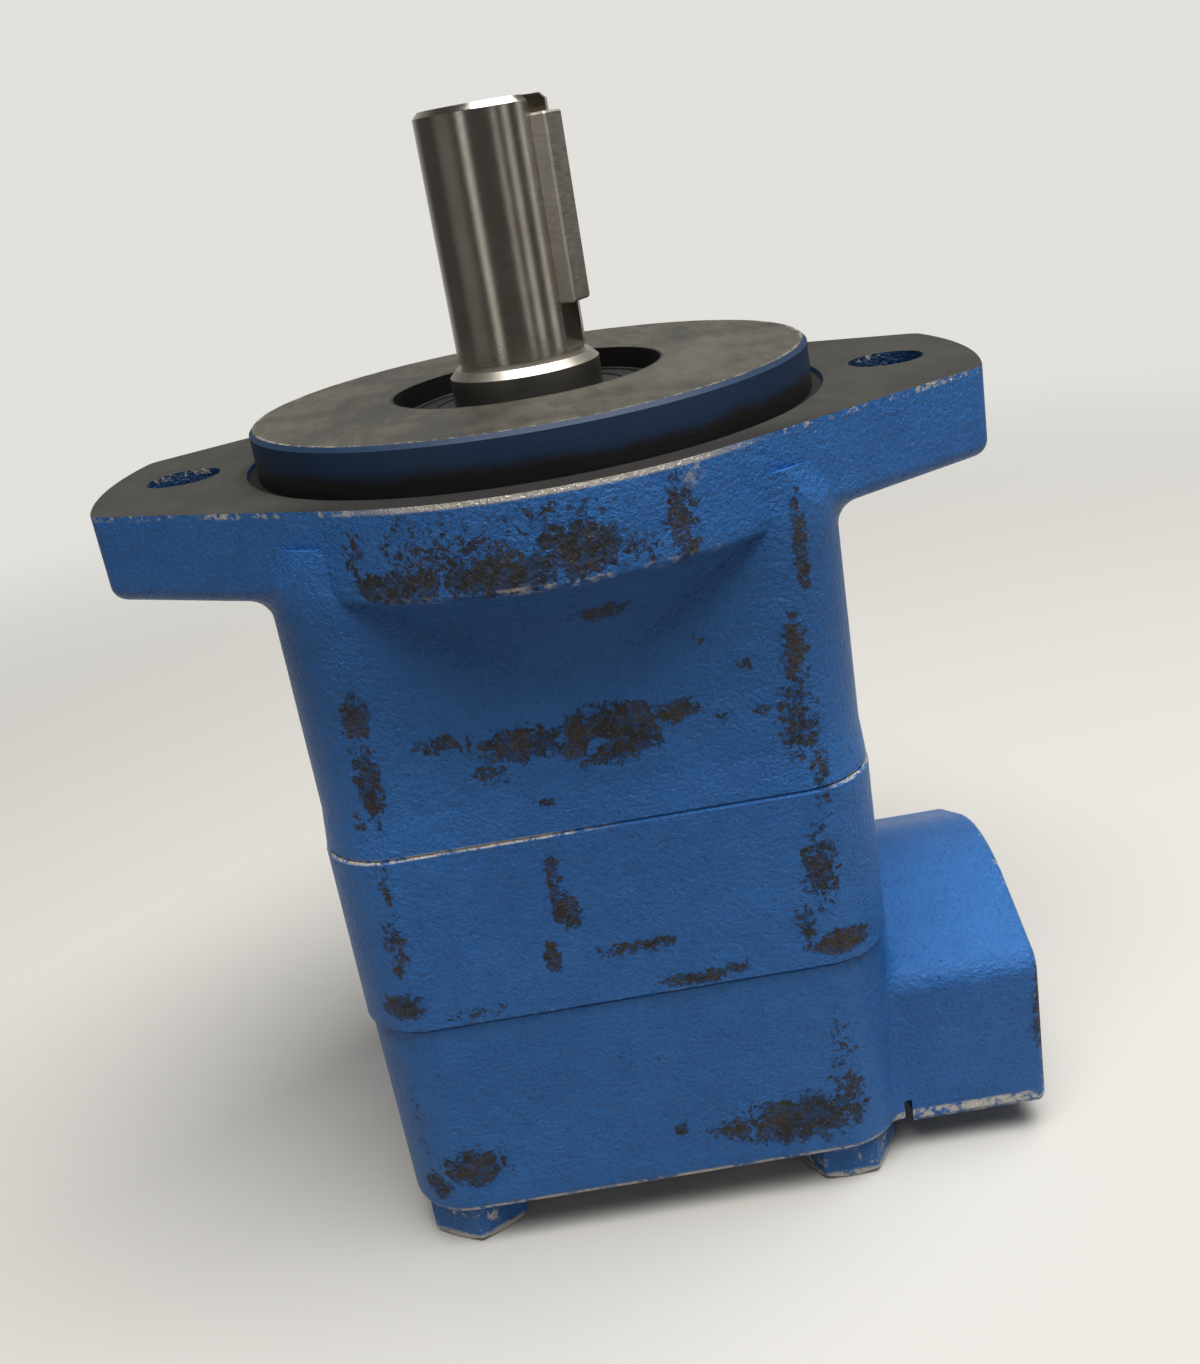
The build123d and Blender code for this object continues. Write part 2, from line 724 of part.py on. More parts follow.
# Pressure plate: outlet kidneys, groove under the vanes and a hub that seals in the body
with BuildPart() as pressure_plate:
    disc(plate_radius, plate_back, seam_front)
    disc(plate_hub_radius, hub_top, plate_back)
    annulus(
        plate_hub_radius,
        plate_hub_radius - hub_groove_depth,
        hub_top - hub_groove_drop,
        hub_top - hub_groove_drop - hub_groove_width,
        Mode.SUBTRACT,
    )
    disc(neck_radius + running_gap, hub_top, seam_front, Mode.SUBTRACT)
    cut_kidneys(45, plate_back, seam_front)
    annulus(
        vane_foot_radius + under_vane_groove_width / 2,
        vane_foot_radius - under_vane_groove_width / 2,
        seam_front + under_vane_groove_depth,
        seam_front,
        Mode.SUBTRACT,
    )
    cut_pattern(dowel_radius + running_gap, plate_back, seam_front, dowel_places)
save(pressure_plate.part, "pressure_plate")

with BuildPart() as plate_hub_seal:
    annulus(
        plate_hub_radius,
        plate_hub_radius - hub_groove_depth + located_gap,
        hub_top - hub_groove_drop - located_gap,
        hub_top - hub_groove_drop - hub_groove_width + located_gap,
    )
save(plate_hub_seal.part, "plate_hub_seal")

# Disc spring between the chamber's roof and the pressure plate
spring_inner_radius = plate_hub_radius + spring_inner_gap
with BuildPart() as plate_spring:
    with BuildSketch(Plane.XZ):
        with BuildLine():
            Polyline(
                (spring_inner_radius, plate_back),
                (spring_inner_radius, plate_back + spring_thickness),
                (spring_outer_radius, chamber_top),
                (spring_outer_radius, chamber_top - spring_thickness),
                close=True,
            )
        make_face()
    revolve(axis=Axis.Z)
save(plate_spring.part, "plate_spring")

# Square-cut face seals on both sides of the cam ring section
seal_half_width = face_seal_width / 2 - located_gap
with BuildPart() as body_face_seal:
    annulus(
        face_seal_radius + seal_half_width,
        face_seal_radius - seal_half_width,
        seam_front + face_seal_depth - located_gap,
        seam_front,
    )
save(body_face_seal.part, "body_face_seal")

with BuildPart() as cover_face_seal:
    annulus(
        face_seal_radius + seal_half_width,
        face_seal_radius - seal_half_width,
        seam_rear,
        seam_rear - face_seal_depth + located_gap,
    )
save(cover_face_seal.part, "cover_face_seal")

# Dowel pins that line up body, ring and cover, and stop the pressure plate from turning
with BuildPart() as dowel_pins:
    with BuildSketch(Plane.XY.offset(seam_rear - dowel_bite + located_gap)):
        with dowel_places:
            Circle(dowel_radius)
    extrude(amount=ring_length + 2 * (dowel_bite - located_gap))
    chamfer(dowel_pins.edges().filter_by(GeomType.CIRCLE), dowel_chamfer)
save(dowel_pins.part, "dowel_pins")

# Plain bush of the shaft's rear end
with BuildPart() as rear_bush:
    bush_bore_radius = rear_journal_radius + running_gap
    annulus(
        bush_bore_radius + bush_wall,
        bush_bore_radius,
        seam_rear - bush_recess,
        seam_rear - bush_recess - bush_length,
    )
save(rear_bush.part, "rear_bush")

# Cover screws: hexagon heads under the cover, shanks through cover and ring into the body
head_end = cover_back - screw_head_height
bevel_radius = screw_head_flats / 2 * head_bevel_share
bevel_growth = screw_head_height / math.tan(math.radians(head_bevel_angle))
with BuildPart() as cover_screw:
    with BuildSketch(Plane.XY.offset(head_end)):
        RegularPolygon(screw_head_flats / 2, 6, major_radius=False)
    extrude(amount=screw_head_height)
    with Locations((0, 0, cover_back - screw_head_height / 2)):
        Cone(bevel_radius, bevel_radius + bevel_growth, screw_head_height, mode=Mode.INTERSECT)
    disc(screw_radius, screw_tip, cover_back)
    chamfer(cover_screw.faces().sort_by(Axis.Z)[-1].edges(), dowel_chamfer)

with BuildPart() as cover_screws:
    for place, turn in zip(screw_places.locations, screw_head_turns):
        with Locations(place * Rotation(0, 0, turn)):
            add(cover_screw.part)
save(cover_screws.part, "cover_screws")
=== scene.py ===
import math

import bmesh
import bpy
from mathutils import Matrix, Vector


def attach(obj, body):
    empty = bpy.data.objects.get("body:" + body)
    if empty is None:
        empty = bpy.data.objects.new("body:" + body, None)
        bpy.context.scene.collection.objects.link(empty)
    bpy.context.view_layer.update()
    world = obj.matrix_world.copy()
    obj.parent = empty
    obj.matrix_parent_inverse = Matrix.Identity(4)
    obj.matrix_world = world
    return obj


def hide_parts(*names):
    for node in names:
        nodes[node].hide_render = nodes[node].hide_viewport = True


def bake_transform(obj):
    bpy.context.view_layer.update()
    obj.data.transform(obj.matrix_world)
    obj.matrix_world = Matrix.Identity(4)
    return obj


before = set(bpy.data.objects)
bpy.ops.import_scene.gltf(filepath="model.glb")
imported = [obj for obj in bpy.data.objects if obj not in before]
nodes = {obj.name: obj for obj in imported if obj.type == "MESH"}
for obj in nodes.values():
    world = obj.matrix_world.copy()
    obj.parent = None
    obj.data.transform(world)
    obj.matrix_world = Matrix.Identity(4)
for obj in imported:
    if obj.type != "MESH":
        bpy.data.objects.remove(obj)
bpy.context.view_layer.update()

MM = 0.001

# Heights and radii of the part, in millimetres, where the materials change
PILOT_RADIUS = 41.275
SEAL_BORE_RADIUS = 20.0
SEAL_FACE = 3.4
SEAM_FRONT = -49.4
SEAM_REAR = -77.1
COVER_BACK = -110.7
BOSS_FACE = 60.5
FLOOR_HEIGHT = -116.9
HOLE_PLACE = 53.2
HOLE_RADIUS = 5.55

# The shoulder of the shaft, and the chamfer that the scene's copy of it gets
SHOULDER_FOOT = 7.9
SHOULDER_TOP = 9.4
SHOULDER_RADIUS = 11.11
SHOULDER_CHAMFER = 1.1
SHOULDER_INNER = 9.0
CHAMFER_INNER = 9.6

# The two ports: the place of each bore's axis, its radius, and where its thread starts
INLET_ACROSS = -6.1
INLET_HEIGHT = -93.9
INLET_RADIUS = 12.1
INLET_MOUTH = 59.3
OUTLET_HEIGHT = -34.8
OUTLET_RADIUS = 9.2
OUTLET_MOUTH = 39.9


class Tree:
    """A node tree, and short ways to add the nodes that this scene uses."""

    def __init__(self, tree):
        self.tree = tree

    def add(self, kind, **settings):
        node = self.tree.nodes.new(kind)
        for key, value in settings.items():
            setattr(node, key, value)
        return node

    def put(self, value, socket):
        """Links a socket to the input, or sets the input to a plain value."""
        if isinstance(value, bpy.types.NodeSocket):
            self.tree.links.new(value, socket)
        else:
            socket.default_value = value

    def math(self, operation, *values, clamp=False):
        node = self.add("ShaderNodeMath", operation=operation, use_clamp=clamp)
        for index, value in enumerate(values):
            self.put(value, node.inputs[index])
        return node.outputs[0]

    def step(self, value, low, high, start=0.0, end=1.0):
        """A smooth step of value between low and high."""
        node = self.add("ShaderNodeMapRange", interpolation_type="SMOOTHSTEP")
        for index, item in enumerate((value, low, high, start, end)):
            self.put(item, node.inputs[index])
        return node.outputs[0]

    def mix(self, factor, first, second):
        node = self.add("ShaderNodeMix", data_type="RGBA")
        self.put(factor, node.inputs["Factor"])
        self.put(first, node.inputs[6])
        self.put(second, node.inputs[7])
        return node.outputs[2]

    def mix_value(self, factor, first, second):
        node = self.add("ShaderNodeMix", data_type="FLOAT")
        self.put(factor, node.inputs["Factor"])
        self.put(first, node.inputs[2])
        self.put(second, node.inputs[3])
        return node.outputs[0]

    def length(self, first, second):
        """Length of a flat vector with these two parts."""
        squares = self.math("ADD", self.math("MULTIPLY", first, first), self.math("MULTIPLY", second, second))
        return self.math("SQRT", squares)

    def seen_directly(self):
        """1 for the rays of the camera, of reflections and of clear pieces, and 0 for the rest."""
        rays = self.add("ShaderNodeLightPath")
        total = rays.outputs["Is Camera Ray"]
        for other in ("Is Glossy Ray", "Is Transmission Ray"):
            total = self.math("MAXIMUM", total, rays.outputs[other])
        return total


class Graph(Tree):
    """A material, with the places and the textures that its colours depend on."""

    def __init__(self, name):
        self.material = bpy.data.materials.new(name)
        self.material.use_nodes = True
        super().__init__(self.material.node_tree)
        self.shader = self.tree.nodes["Principled BSDF"]
        self.coordinates = self.tree.nodes.new("ShaderNodeTexCoord")
        scaled = self.add("ShaderNodeVectorMath", operation="SCALE")
        self.tree.links.new(self.coordinates.outputs["Object"], scaled.inputs[0])
        scaled.inputs["Scale"].default_value = 1 / MM
        self.place = scaled.outputs[0]
        split = self.add("ShaderNodeSeparateXYZ")
        self.tree.links.new(self.place, split.inputs[0])
        self.x, self.y, self.z = split.outputs
        facing = self.add("ShaderNodeSeparateXYZ")
        self.tree.links.new(self.coordinates.outputs["Normal"], facing.inputs[0])
        self.facing_z = facing.outputs["Z"]

    def noise(self, scale, detail=4.0, roughness=0.55, place=None, stretch=None, distortion=0.0):
        """Noise with features of about 1 / scale millimetres."""
        place = self.place if place is None else place
        if stretch:
            mapped = self.add("ShaderNodeVectorMath", operation="MULTIPLY")
            self.put(place, mapped.inputs[0])
            self.put(stretch, mapped.inputs[1])
            place = mapped.outputs[0]
        node = self.add("ShaderNodeTexNoise")
        self.put(place, node.inputs["Vector"])
        node.inputs["Scale"].default_value = scale
        node.inputs["Detail"].default_value = detail
        node.inputs["Roughness"].default_value = roughness
        node.inputs["Distortion"].default_value = distortion
        return node.outputs["Fac"]

    def radius(self):
        """Distance from the shaft axis."""
        return self.length(self.x, self.y)

    def patch(self, centre, reach):
        """1 at the centre of an oval place on the surface, 0 at its edge."""
        shifted = self.add("ShaderNodeVectorMath", operation="SUBTRACT")
        self.put(self.place, shifted.inputs[0])
        shifted.inputs[1].default_value = centre
        scaled = self.add("ShaderNodeVectorMath", operation="DIVIDE")
        self.put(shifted.outputs[0], scaled.inputs[0])
        scaled.inputs[1].default_value = reach
        length = self.add("ShaderNodeVectorMath", operation="LENGTH")
        self.put(scaled.outputs[0], length.inputs[0])
        squared = self.math("MULTIPLY", length.outputs["Value"], length.outputs["Value"])
        return self.math("SUBTRACT", 1.0, squared, clamp=True)

    def patches(self, places):
        total = 0.0
        for centre, reach, strength in places:
            spread = tuple(length * WEAR_SPREAD for length in reach)
            one = self.math("MULTIPLY", self.patch(centre, spread), strength)
            total = self.math("MAXIMUM", total, one)
        return total

    def bump(self, height, distance, strength):
        node = self.add("ShaderNodeBump")
        self.put(height, node.inputs["Height"])
        node.inputs["Distance"].default_value = distance * MM
        node.inputs["Strength"].default_value = strength
        return node.outputs[0]

    def surface(self, color, roughness, metallic=0.0, normal=None):
        """Sets the shader and returns the finished material."""
        self.put(color, self.shader.inputs["Base Color"])
        self.put(roughness, self.shader.inputs["Roughness"])
        self.put(metallic, self.shader.inputs["Metallic"])
        if normal is not None:
            self.put(normal, self.shader.inputs["Normal"])
        return self.material


# Colours of the casting
BLUE = (0.020, 0.124, 0.385, 1.0)
BLUE_LIGHT = (0.027, 0.153, 0.452, 1.0)
# Painted highlight for the tips of the grain, and painted shade for its pits and under the flange
BLUE_PAINTED_GLINT = (0.065, 0.235, 0.560, 1.0)
BLUE_PAINTED_SHADE = (0.012, 0.066, 0.200, 1.0)
# Painted shade on the walls of the bolt holes
BLUE_SHADE_IN_HOLES = (0.005, 0.022, 0.060, 1.0)
BLUE_ON_PILOT = (0.012, 0.032, 0.075, 1.0)
WORN = (0.013, 0.014, 0.017, 1.0)
WORN_LIGHT = (0.095, 0.088, 0.084, 1.0)
WORN_BROWN = (0.034, 0.025, 0.019, 1.0)
BARE = (0.58, 0.55, 0.50, 1.0)
IRON = (0.040, 0.038, 0.032, 1.0)
IRON_LIGHT = (0.098, 0.091, 0.074, 1.0)
IRON_ON_FLANGE = (0.028, 0.028, 0.026, 1.0)
# Black for painted shade: in the groove, in the seal's bore, at the pilot wall's foot and on the flange face's
# front
PAINTED_SHADE_BLACK = (0.010, 0.009, 0.009, 1.0)

# How far a worn place reaches past its listed size
WEAR_SPREAD = 1.35


def paint(g, cloud, grain, fine):
    """Blue paint with painted shade in the pits of the grain and painted highlights on its tips."""
    broad = g.noise(0.045, 3.0)
    tone = g.step(g.math("ADD", g.math("MULTIPLY", broad, 0.6), g.math("MULTIPLY", cloud, 0.4)), 0.36, 0.64)
    color = g.mix(tone, BLUE, BLUE_LIGHT)
    pits = g.step(grain, 0.30, 0.44)
    # The pits get painted shade, and the tips of the fine noise get painted highlights
    color = g.mix(g.math("MULTIPLY", g.math("SUBTRACT", 1.0, pits), 0.5), color, BLUE_PAINTED_SHADE)
    return g.mix(g.step(fine, 0.60, 0.74, 0.0, 0.45), color, BLUE_PAINTED_GLINT)


def shade_under_flange_and_in_holes(g, color):
    """Painted shade under the flange and on the walls of its bolt holes."""
    below = g.math("MULTIPLY", g.step(g.z, -10.0, -14.0), g.step(g.z, SEAM_FRONT - 0.6, -22.0))
    color = g.mix(g.math("MULTIPLY", below, 0.45), color, BLUE_PAINTED_SHADE)
    from_hole = g.length(g.math("SUBTRACT", g.math("ABSOLUTE", g.x), HOLE_PLACE), g.y)
    wall = g.step(g.facing_z, 0.5, 0.2)
    hole = g.math("MULTIPLY", g.step(from_hole, HOLE_RADIUS + 0.5, HOLE_RADIUS + 0.1), wall)
    return g.mix(g.math("MULTIPLY", hole, 0.85), color, BLUE_SHADE_IN_HOLES)


def wear(g, color, worn_places, kept_places):
    """Stray flecks over the whole casting, and dense ones where it was rubbed."""
    speck = g.noise(0.85, 7.0, 0.74, distortion=0.6)
    density = g.patches(worn_places)
    for centre, size in kept_places:
        kept = g.math("MULTIPLY", g.patch(centre, size), 0.55)
        density = g.math("SUBTRACT", density, kept, clamp=True)
    reach = g.math("SUBTRACT", 0.70, g.math("MULTIPLY", density, 0.40))
    worn = g.step(speck, reach, g.math("ADD", reach, 0.025))
    worn_tone = g.step(g.noise(2.4, 5.0, 0.75, distortion=0.5), 0.47, 0.68)
    worn_color = g.mix(g.step(g.noise(0.18, 4.0, 0.6), 0.46, 0.60), WORN, WORN_BROWN)
    worn_color = g.mix(g.math("MULTIPLY", worn_tone, 0.75), worn_color, WORN_LIGHT)
    thin = g.step(g.noise(0.55, 4.0, 0.7), 0.40, 0.56, 0.72, 1.0)
    return worn, g.mix(g.math("MULTIPLY", worn, thin), color, worn_color)


def scrape_edges(g, color, roughness, edges):
    """Bare metal along scraped edges, each a mask and how much of it is scraped."""
    metallic = 0.0
    scrape = g.noise(0.16, 6.0, 0.75)
    ragged = g.noise(0.9, 4.0, 0.7)
    chance = g.math("ADD", g.math("MULTIPLY", scrape, 0.55), g.math("MULTIPLY", ragged, 0.45))
    for mask, amount in edges:
        edge = g.math("MULTIPLY", mask, g.step(chance, 0.60 - 0.25 * amount, 0.68 - 0.25 * amount))
        color = g.mix(edge, color, BARE)
        metallic = g.math("MAXIMUM", metallic, g.math("MULTIPLY", edge, 0.7))
        roughness = g.mix_value(edge, roughness, 0.40)
    return color, roughness, metallic


def machine_faces(g, color, roughness, metallic, height):
    """The turned pilot, the flange's face and the seal's bore, oily and without paint, with painted shade in
    the groove, the bore, at the wall's foot and on the face's front, and a painted highlight on the pilot's
    edge.
    """
    radius = g.radius()
    outside = g.step(radius, PILOT_RADIUS + 0.2, PILOT_RADIUS + 0.5)
    top = g.math("MULTIPLY", g.step(g.facing_z, 0.85, 0.95), g.step(g.z, -1.6, -1.2))
    flange_face = g.math("MULTIPLY", top, g.step(g.z, 0.6, 0.3))
    shaded_groove = g.math("MULTIPLY", g.step(g.z, -0.15, -0.4), g.step(radius, 43.6, 43.2))
    wall = g.math("MULTIPLY", g.math("SUBTRACT", 1.0, outside), g.step(g.z, -1.4, -1.2))
    turned = g.noise(1.0, 3.0, 0.6, stretch=(0.05, 0.05, 2.5))
    stain = g.noise(0.06, 5.0, 0.65)
    smear = g.noise(0.5, 5.0, 0.7, stretch=(1.0, 0.25, 1.0))
    rings = g.noise(2.6, 2.0, 0.5, place=ring_place(g, radius))

    iron_tone = g.math("ADD", g.math("MULTIPLY", stain, 0.7), g.math("MULTIPLY", smear, 0.3))
    iron = g.mix(g.step(iron_tone, 0.38, 0.66), IRON, IRON_LIGHT)
    iron = g.mix(g.math("MULTIPLY", flange_face, 0.75), iron, IRON_ON_FLANGE)
    # Painted shade: the front of the flange face darkened nearly to black
    shaded_front_flange = g.math("MULTIPLY", flange_face, g.step(g.y, -28.0, -40.0))
    iron = g.mix(g.math("MULTIPLY", shaded_front_flange, 0.8), iron, PAINTED_SHADE_BLACK)
    # Painted highlight: pale bare metal along the pilot's top edge
    near_edge = g.step(radius, PILOT_RADIUS - 1.4, PILOT_RADIUS - 0.4)
    pilot_edge_highlight = g.math("MULTIPLY", near_edge, g.step(g.z, 5.2, 5.6))
    iron = g.mix(g.math("MULTIPLY", pilot_edge_highlight, g.step(smear, 0.45, 0.6, 0.0, 0.55)), iron, BARE)

    # The pilot's wall is oily, with painted shade that makes it nearly black at its foot, and some blue left
    # near the top
    high = g.math("ADD", g.z, g.math("MULTIPLY", g.math("SUBTRACT", stain, 0.5), 5.0))
    color = g.mix(wall, color, g.mix(g.step(high, 1.2, 3.4), PAINTED_SHADE_BLACK, BLUE_ON_PILOT))
    color = g.mix(top, color, iron)
    # Painted shade in the groove round the pilot's foot
    color = g.mix(g.math("MULTIPLY", shaded_groove, top), color, PAINTED_SHADE_BLACK)
    # Painted shade in the seal's bore
    in_bore = g.step(radius, SEAL_BORE_RADIUS + 0.6, SEAL_BORE_RADIUS + 0.1)
    shaded_seal_bore = g.math("MULTIPLY", in_bore, g.step(g.z, -24.0, -23.0))
    color = g.mix(shaded_seal_bore, color, PAINTED_SHADE_BLACK)

    bare = g.math("MAXIMUM", g.math("MAXIMUM", wall, top), shaded_seal_bore)
    roughness = g.mix_value(bare, roughness, g.mix_value(stain, 0.42, 0.66))
    roughness = g.mix_value(flange_face, roughness, 0.88)
    shine = g.math("MULTIPLY", g.math("SUBTRACT", top, flange_face), 0.25)
    metallic = g.math("MAXIMUM", metallic, shine)
    marks = g.math("ADD", g.math("MULTIPLY", rings, 0.05), g.math("MULTIPLY", smear, 0.10))
    height = g.mix_value(bare, height, g.math("ADD", marks, g.math("MULTIPLY", turned, 0.02)))
    return color, roughness, metallic, height


def painted_casting(name, worn_places, bare_edges, machined=False, kept_places=(), port=None):
    """Blue paint on cast iron: grain, painted shade and highlights, worn dark patches, bare edges, and machined
    faces and bores.
    """
    g = Graph(name)
    cloud = g.noise(0.25, 4.0)
    grain = g.noise(1.5, 3.0, 0.6)
    fine = g.noise(3.4, 2.0, 0.6)

    color = paint(g, cloud, grain, fine)
    # Painted shade under the flange and in the bolt holes
    if machined:
        color = shade_under_flange_and_in_holes(g, color)
    worn, color = wear(g, color, worn_places, kept_places)
    roughness = g.mix_value(worn, g.mix_value(cloud, 0.27, 0.42), 0.62)
    color, roughness, metallic = scrape_edges(g, color, roughness, bare_edges(g))

    height = g.math("ADD", g.math("MULTIPLY", grain, 0.7), g.math("MULTIPLY", fine, 0.3))
    height = g.math("ADD", height, g.math("MULTIPLY", cloud, 0.8))
    height = g.math("SUBTRACT", height, g.math("MULTIPLY", worn, 0.22))
    if machined:
        color, roughness, metallic, height = machine_faces(g, color, roughness, metallic, height)
    if port:
        bore = port(g)
        color = g.mix(bore, color, IRON_LIGHT)
        metallic = g.math("MAXIMUM", metallic, g.math("MULTIPLY", bore, 0.6))
        height = g.mix_value(bore, height, 0.5)

    g.shader.inputs["Specular IOR Level"].default_value = 0.30
    return g.surface(color, roughness, metallic, g.bump(height, 0.72, 1.0))


def bore_wall(g, across, upward, radius, deep):
    """1 on the wall of a port's bore and on its mouth chamfer."""
    distance = g.length(g.math("DIVIDE", across, radius), g.math("DIVIDE", upward, radius))
    return g.math("MULTIPLY", g.step(distance, 1.03, 1.0), deep)


def inlet_bore(g):
    across = g.math("SUBTRACT", g.y, INLET_ACROSS)
    upward = g.math("SUBTRACT", g.z, INLET_HEIGHT)
    return bore_wall(g, across, upward, INLET_RADIUS + 1.2, g.step(g.x, 36.0, 38.0))


def outlet_bore(g):
    upward = g.math("SUBTRACT", g.z, OUTLET_HEIGHT)
    return bore_wall(g, g.x, upward, OUTLET_RADIUS + 1.0, g.step(g.y, 22.0, 24.0))


def ring_place(g, radius):
    """Coordinates that change only with the distance from the axis, for turning marks."""
    joined = g.add("ShaderNodeCombineXYZ")
    g.put(radius, joined.inputs[0])
    g.put(g.math("MULTIPLY", g.z, 0.3), joined.inputs[1])
    return joined.outputs[0]


def near(g, value, centre, reach):
    """1 within reach of a value, falling to 0 just outside."""
    distance = g.math("ABSOLUTE", g.math("SUBTRACT", value, centre))
    return g.step(distance, reach, reach * 0.5)


def seam_ends(g):
    """Where the front seam is scraped: its left half and its right corner."""
    return g.math("MAXIMUM", g.step(g.x, 4.0, -8.0), g.step(g.x, 31.0, 34.0))


def body_edges(g):
    side = g.step(g.facing_z, 0.95, 0.80)
    outer = g.step(g.radius(), PILOT_RADIUS + 2.0, PILOT_RADIUS + 2.5)
    top = g.math("MULTIPLY", near(g, g.z, 0.0, 0.95), g.math("MULTIPLY", side, outer))
    # Along the front the top edge is scraped nearly all along: worn bare metal that also stands as a painted
    # highlight of the edge
    front = g.math("MULTIPLY", g.step(g.y, -36.0, -45.5), near(g, g.x, 3.0, 34.0))
    rim_front = g.math("MULTIPLY", g.step(g.y, -40.0, -42.0), near(g, g.x, 0.0, 25.0))
    ledge = g.math("MULTIPLY", near(g, g.z, -12.3, 0.9), rim_front)
    seam = near(g, g.z, SEAM_FRONT, 0.45)
    # A bare nick at the left body corner under the flange, which also stands as the painted highlight of that
    # corner
    ledge_corner_glint = g.step(g.patch((-35.2, -32.1, -11.1), (1.2, 3.0, 1.6)), 0.2, 0.5)
    scrape = g.patch((18.8, -43.7, -1.6), (2.2, 3.0, 2.4))
    return [
        (top, 0.35),
        (g.math("MULTIPLY", top, front), 1.35),
        (g.math("MULTIPLY", ledge, 0.6), 0.40),
        (g.math("MULTIPLY", seam, seam_ends(g)), 0.75),
        (seam, 0.12),
        (ledge_corner_glint, 1.2),
        (g.math("MULTIPLY", scrape, 0.5), 0.35),
    ]


def ring_edges(g):
    return [
        (g.math("MULTIPLY", near(g, g.z, SEAM_FRONT, 0.4), seam_ends(g)), 0.70),
        (near(g, g.z, SEAM_REAR, 0.45), 0.30),
    ]


def cover_edges(g):
    return [
        (near(g, g.z, SEAM_REAR, 0.4), 0.15),
        (near(g, g.z, COVER_BACK + 0.5, 1.1), 0.62),
        (near(g, g.z, COVER_BACK - 1.4, 1.2), 0.45),
        (near(g, g.x, BOSS_FACE, 0.9), 0.18),
    ]


# Worn places: centre and half size in millimetres, and how densely worn
BODY_WORN = [
    ((-12.1, -46.0, -7.1), (13.2, 7.0, 4.8), 0.62),
    ((-19.1, -43.6, -10.1), (7.0, 7.0, 2.3), 1.00),
    ((-6.4, -47.2, -9.9), (9.2, 7.0, 2.6), 1.00),
    ((3.8, -47.4, -7.9), (6.1, 7.0, 3.9), 0.90),
    ((16.7, -44.6, -7.4), (2.6, 7.0, 6.9), 0.72),
    ((11.0, -46.3, -9.5), (5.0, 7.0, 3.2), 0.50),
    ((-15.0, -45.2, -3.0), (7.7, 7.0, 2.4), 0.45),
    ((-24.4, -40.8, -5.7), (2.0, 7.0, 4.3), 0.60),
    ((-49.9, -13.3, -7.5), (11.4, 7.0, 4.0), 0.42),
    ((2.2, -47.5, -2.9), (10.8, 7.0, 2.6), 0.42),
    ((5.1, -38.5, -18.1), (4.4, 7.0, 1.5), 0.85),
    ((-29.4, -38.5, -28.6), (2.2, 7.0, 3.7), 0.90),
    ((-29.6, -38.5, -37.8), (2.0, 7.0, 6.4), 0.85),
    ((-32.1, -38.5, -44.2), (1.2, 7.0, 3.2), 0.50),
    ((-19.0, -38.5, -33.9), (4.0, 7.0, 1.6), 0.72),
    ((-8.6, -38.5, -35.8), (6.9, 7.0, 2.9), 0.80),
    ((3.5, -38.5, -36.2), (7.7, 7.0, 4.4), 1.00),
    ((12.6, -38.5, -34.5), (4.3, 7.0, 1.9), 0.80),
    ((21.8, -38.5, -36.5), (7.3, 7.0, 1.3), 0.45),
    ((-13.0, -38.5, -39.4), (3.5, 7.0, 2.0), 0.58),
    ((-6.3, -38.5, -44.7), (1.5, 7.0, 0.9), 0.70),
    ((31.8, -38.5, -14.9), (1.2, 7.0, 7.7), 0.80),
    ((29.4, -38.5, -29.2), (2.0, 7.0, 6.0), 0.72),
    ((28.6, -38.5, -39.2), (3.5, 7.0, 6.7), 0.66),
    ((30.9, -38.5, -46.4), (1.9, 7.0, 3.2), 0.62),
    ((22.6, -38.5, -29.8), (1.5, 7.0, 1.3), 0.60),
    ((17.2, -38.5, -25.3), (1.3, 7.0, 1.1), 0.45),
]
RING_WORN = [
    ((-7.5, -39.1, -57.0), (1.4, 7.0, 5.4), 0.75),
    ((-6.4, -39.1, -61.5), (2.1, 7.0, 3.0), 0.95),
    ((-9.7, -39.1, -68.4), (1.4, 7.0, 3.1), 0.85),
    ((2.6, -39.1, -68.8), (7.0, 7.0, 1.4), 0.70),
    ((10.3, -39.1, -75.4), (6.4, 7.0, 1.2), 0.80),
    ((16.2, -39.1, -74.7), (2.1, 7.0, 1.4), 0.65),
    ((29.2, -39.1, -61.3), (3.3, 7.0, 7.0), 0.70),
    ((31.4, -39.1, -73.5), (4.5, 7.0, 2.2), 1.00),
    ((26.2, -39.1, -69.9), (2.1, 7.0, 4.3), 0.60),
    ((-30.6, -39.1, -53.4), (1.2, 7.0, 5.1), 0.55),
    ((-31.1, -39.1, -63.0), (1.8, 7.0, 5.5), 0.66),
    ((-32.0, -39.1, -72.7), (3.4, 7.0, 2.3), 0.95),
    ((-21.4, -39.1, -75.1), (6.6, 7.0, 1.1), 0.55),
    ((30.9, -39.1, -51.0), (1.9, 7.0, 3.0), 0.50),
]
